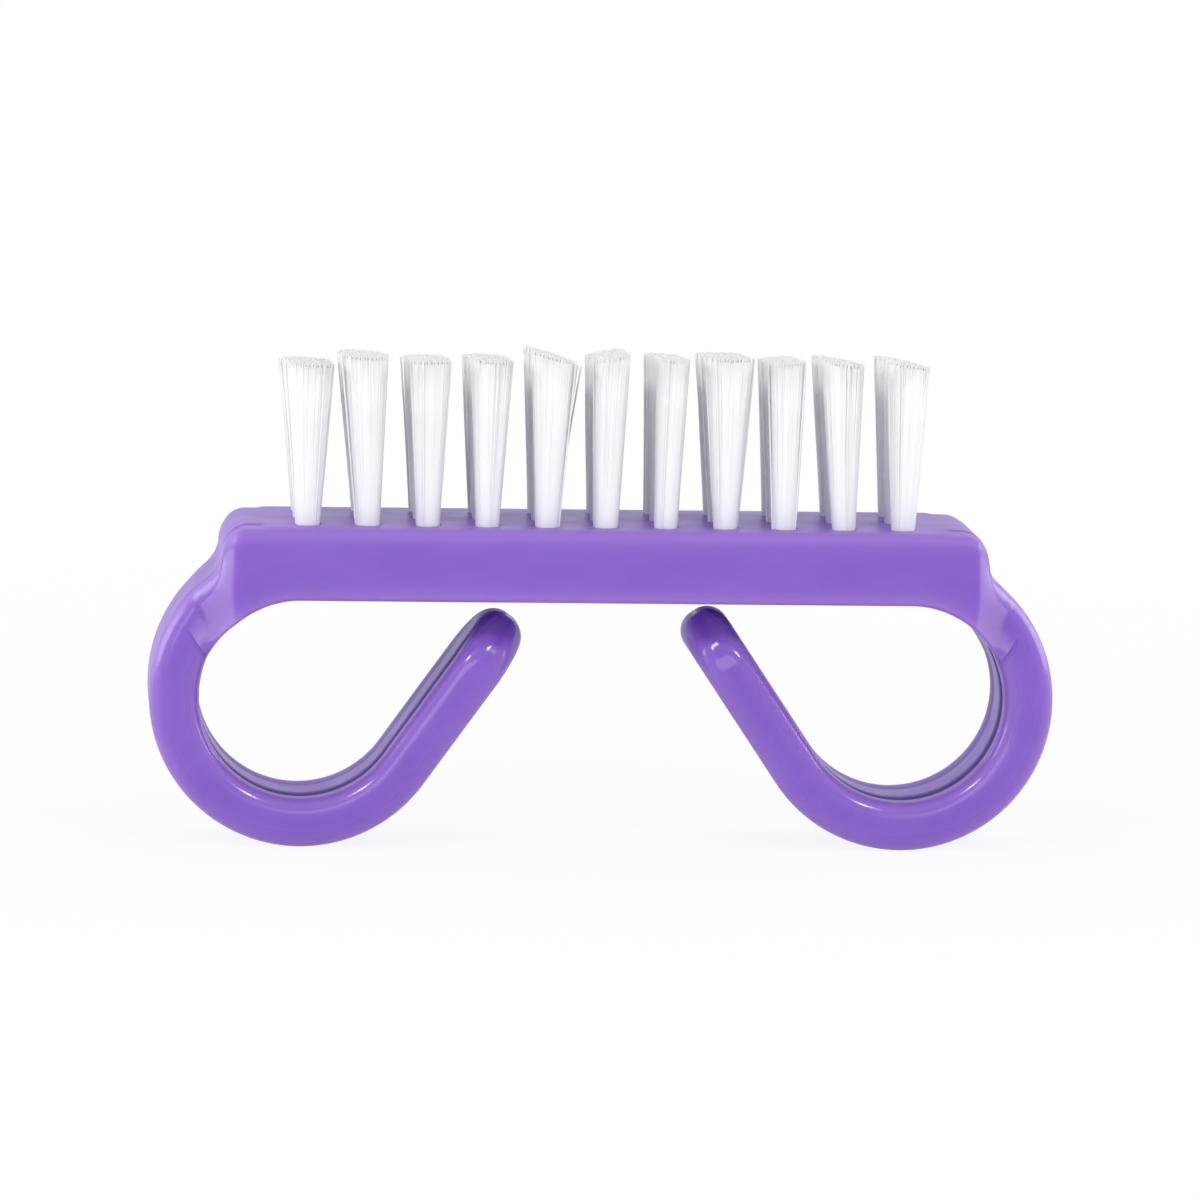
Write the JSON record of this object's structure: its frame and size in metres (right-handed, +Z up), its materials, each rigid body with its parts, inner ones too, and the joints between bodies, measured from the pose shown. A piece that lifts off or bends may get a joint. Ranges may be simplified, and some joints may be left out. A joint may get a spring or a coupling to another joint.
{
  "type": "nail brush",
  "caption": "Nail brush: a straight bristle block with upright white tufts, carried on two open finger loops that stand as its feet.",
  "frame": {"origin": "on the ground, under the middle of the brush's bounding box, as it stands on its two loops with the bristles up", "axes": "+X along the block, +Y from front to back through its depth, +Z up towards the bristles' tips"},
  "size_m": [0.09, 0.02, 0.0497],
  "materials": {
    "body_plastic": "injection-moulded purple polypropylene, smooth and glossy, very slightly translucent",
    "bristle": "white nylon filaments, trimmed square, satin",
    "anchor_wire": "flat drawn wire, hidden in the holes"
  },
  "bodies": {
    "root": {"body": "body_plastic", "tuft_anchors": "anchor_wire", "tuft_front_01": "bristle", "tuft_front_02": "bristle", "tuft_front_03": "bristle", "tuft_front_04": "bristle", "tuft_front_05": "bristle", "tuft_front_06": "bristle", "tuft_front_07": "bristle", "tuft_front_08": "bristle", "tuft_front_09": "bristle", "tuft_front_10": "bristle", "tuft_front_11": "bristle", "tuft_middle_01": "bristle", "tuft_middle_02": "bristle", "tuft_middle_03": "bristle", "tuft_middle_04": "bristle", "tuft_middle_05": "bristle", "tuft_middle_06": "bristle", "tuft_middle_07": "bristle", "tuft_middle_08": "bristle", "tuft_middle_09": "bristle", "tuft_middle_10": "bristle", "tuft_middle_11": "bristle", "tuft_back_01": "bristle", "tuft_back_02": "bristle", "tuft_back_03": "bristle", "tuft_back_04": "bristle", "tuft_back_05": "bristle", "tuft_back_06": "bristle", "tuft_back_07": "bristle", "tuft_back_08": "bristle", "tuft_back_09": "bristle", "tuft_back_10": "bristle", "tuft_back_11": "bristle"}
  },
  "joints": []
}
